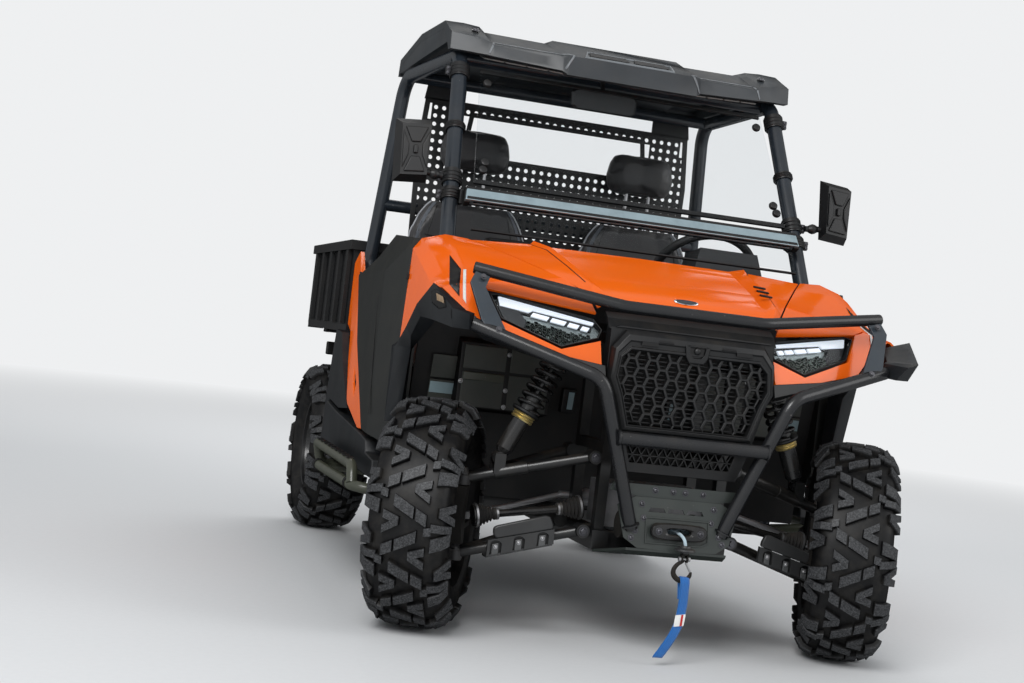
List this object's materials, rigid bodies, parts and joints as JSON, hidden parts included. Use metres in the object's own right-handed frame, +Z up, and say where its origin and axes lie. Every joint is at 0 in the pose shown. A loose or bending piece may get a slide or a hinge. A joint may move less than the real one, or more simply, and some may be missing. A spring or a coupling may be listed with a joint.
{
  "type": "side by side utility vehicle",
  "caption": "Two-seat side by side off-road utility vehicle with tube cab, roof, windshield, bull bar, winch and tipping cargo bed.",
  "frame": {"origin": "on the ground, under the middle of the vehicle's overall box", "axes": "+Z up, the vehicle faces -Y, its left hand side is +X"},
  "size_m": [1.729, 2.9264, 1.896],
  "materials": {
    "orange_paint": "moulded-in orange, glossy",
    "black_plastic": "moulded, fine grain",
    "grey_plastic": "moulded dark grey, fine grain",
    "powder_coat": "satin black powder coat",
    "grey_coat": "grey-green powder coat",
    "frame_coat": "black paint",
    "bar_aluminium": "clear anodised",
    "steel": "machined",
    "cast_alloy": "as cast",
    "dark_iron": "cast, painted",
    "boot_rubber": "moulded rubber",
    "tyre": "tread rubber, dusty",
    "rim_paint": "satin black wheel paint",
    "pane": "clear hard-coated polycarbonate",
    "lens": "clear lens",
    "seat_cover": "vinyl-coated fabric",
    "webbing": "woven blue webbing"
  },
  "bodies": {
    "root": {"chassis_frame": "frame_coat", "front_subframe": "frame_coat", "rear_subframe": "frame_coat", "hitch_receiver": "frame_coat", "roll_cage": "frame_coat", "roof": "grey_plastic", "windshield_panes": "pane", "windshield_bar": "bar_aluminium", "rear_screen": "black_plastic", "seat_bottoms": "seat_cover", "seat_backs": "seat_cover", "floor_tub": "black_plastic", "dashboard": "grey_plastic", "front_fenders": "orange_paint", "front_fascia": "black_plastic", "grille": "black_plastic", "front_bumper": "powder_coat", "winch_plate": "grey_coat", "winch": "dark_iron", "winch_hook": "steel", "hook_strap": "webbing", "front_arms": "frame_coat", "arm_guards": "black_plastic", "dampers": "frame_coat", "half_shafts": "steel", "gear_cases": "cast_alloy", "rear_arms": "frame_coat", "rear_uprights": "dark_iron", "side_sills": "black_plastic", "side_bars": "grey_coat", "quarter_panels": "orange_paint", "fender_flares": "black_plastic", "mirrors": "black_plastic", "firewall": "black_plastic", "engine": "dark_iron", "exhaust": "steel", "lamps": "lens"},
    "hood": {"hood": "orange_paint"},
    "door_left": {"door_left": "black_plastic"},
    "door_right": {"door_right": "black_plastic"},
    "cargo_bed": {"cargo_bed": "black_plastic"},
    "tailgate": {"tailgate": "black_plastic"},
    "knuckle_left": {"knuckle_left": "dark_iron"},
    "knuckle_right": {"knuckle_right": "dark_iron"},
    "steering_rack": {"steering_rods": "steel"},
    "steering_wheel": {"steering_wheel": "black_plastic"},
    "wheel_front_left": {"tyre_front_left": "tyre", "rim_front_left": "rim_paint"},
    "wheel_front_right": {"tyre_front_right": "tyre", "rim_front_right": "rim_paint"},
    "wheel_rear_left": {"tyre_rear_left": "tyre", "rim_rear_left": "rim_paint"},
    "wheel_rear_right": {"tyre_rear_right": "tyre", "rim_rear_right": "rim_paint"}
  },
  "joints": [
    {"name": "steer_left", "type": "hinge", "parent": "root", "child": "knuckle_left", "pos_m": [0.56, -1.09, 0.33], "axis": [0, 0, 1], "range_deg": [-9, 55]},
    {"name": "steer_right", "type": "hinge", "parent": "root", "child": "knuckle_right", "pos_m": [-0.56, -1.09, 0.33], "axis": [0, 0, 1], "range_deg": [-9, 55]},
    {"name": "steering_wheel_turn", "type": "hinge", "parent": "root", "child": "steering_wheel", "pos_m": [0.335, -0.495, 1.128], "axis": [0, 0.788, 0.6157], "range_deg": [-72, 440]},
    {"name": "rack_slide", "type": "slide", "parent": "root", "child": "steering_rack", "axis": [-1, 0, 0], "range_m": [-0.0168, 0.1015]},
    {"name": "roll_front_left", "type": "hinge", "parent": "knuckle_left", "child": "wheel_front_left", "pos_m": [0.64745, -1.12712, 0.33], "axis": [0.9205, -0.3907, 0], "continuous": true},
    {"name": "roll_front_right", "type": "hinge", "parent": "knuckle_right", "child": "wheel_front_right", "pos_m": [-0.64745, -1.05288, 0.33], "axis": [0.9205, -0.3907, 0], "continuous": true},
    {"name": "roll_rear_left", "type": "hinge", "parent": "root", "child": "wheel_rear_left", "pos_m": [0.627, 0.89, 0.33], "axis": [1, 0, 0], "continuous": true},
    {"name": "roll_rear_right", "type": "hinge", "parent": "root", "child": "wheel_rear_right", "pos_m": [-0.627, 0.89, 0.33], "axis": [1, 0, 0], "continuous": true},
    {"name": "hood_open", "type": "hinge", "parent": "root", "child": "hood", "pos_m": [0, -0.792, 1.128], "axis": [-1, 0, 0], "range_deg": [0, 50]},
    {"name": "door_open_left", "type": "hinge", "parent": "root", "child": "door_left", "pos_m": [0.724, -0.778, 0.8], "axis": [0, 0, -1], "range_deg": [0, 70]},
    {"name": "door_open_right", "type": "hinge", "parent": "root", "child": "door_right", "pos_m": [-0.724, -0.778, 0.8], "axis": [0, 0, 1], "range_deg": [0, 70]},
    {"name": "bed_tip", "type": "hinge", "parent": "root", "child": "cargo_bed", "pos_m": [0, 1.165, 0.762], "axis": [-1, 0, 0], "range_deg": [0, 42]},
    {"name": "tailgate_drop", "type": "hinge", "parent": "cargo_bed", "child": "tailgate", "pos_m": [0, 1.451, 0.79], "axis": [-1, 0, 0], "range_deg": [0, 90]}
  ],
  "couplings": [
    {"joint": "steer_right", "follows": "steer_left", "ratio": 1},
    {"joint": "steering_wheel_turn", "follows": "steer_left", "ratio": 8},
    {"joint": "rack_slide", "follows": "steer_left", "m_per_rad": 0.1055}
  ]
}
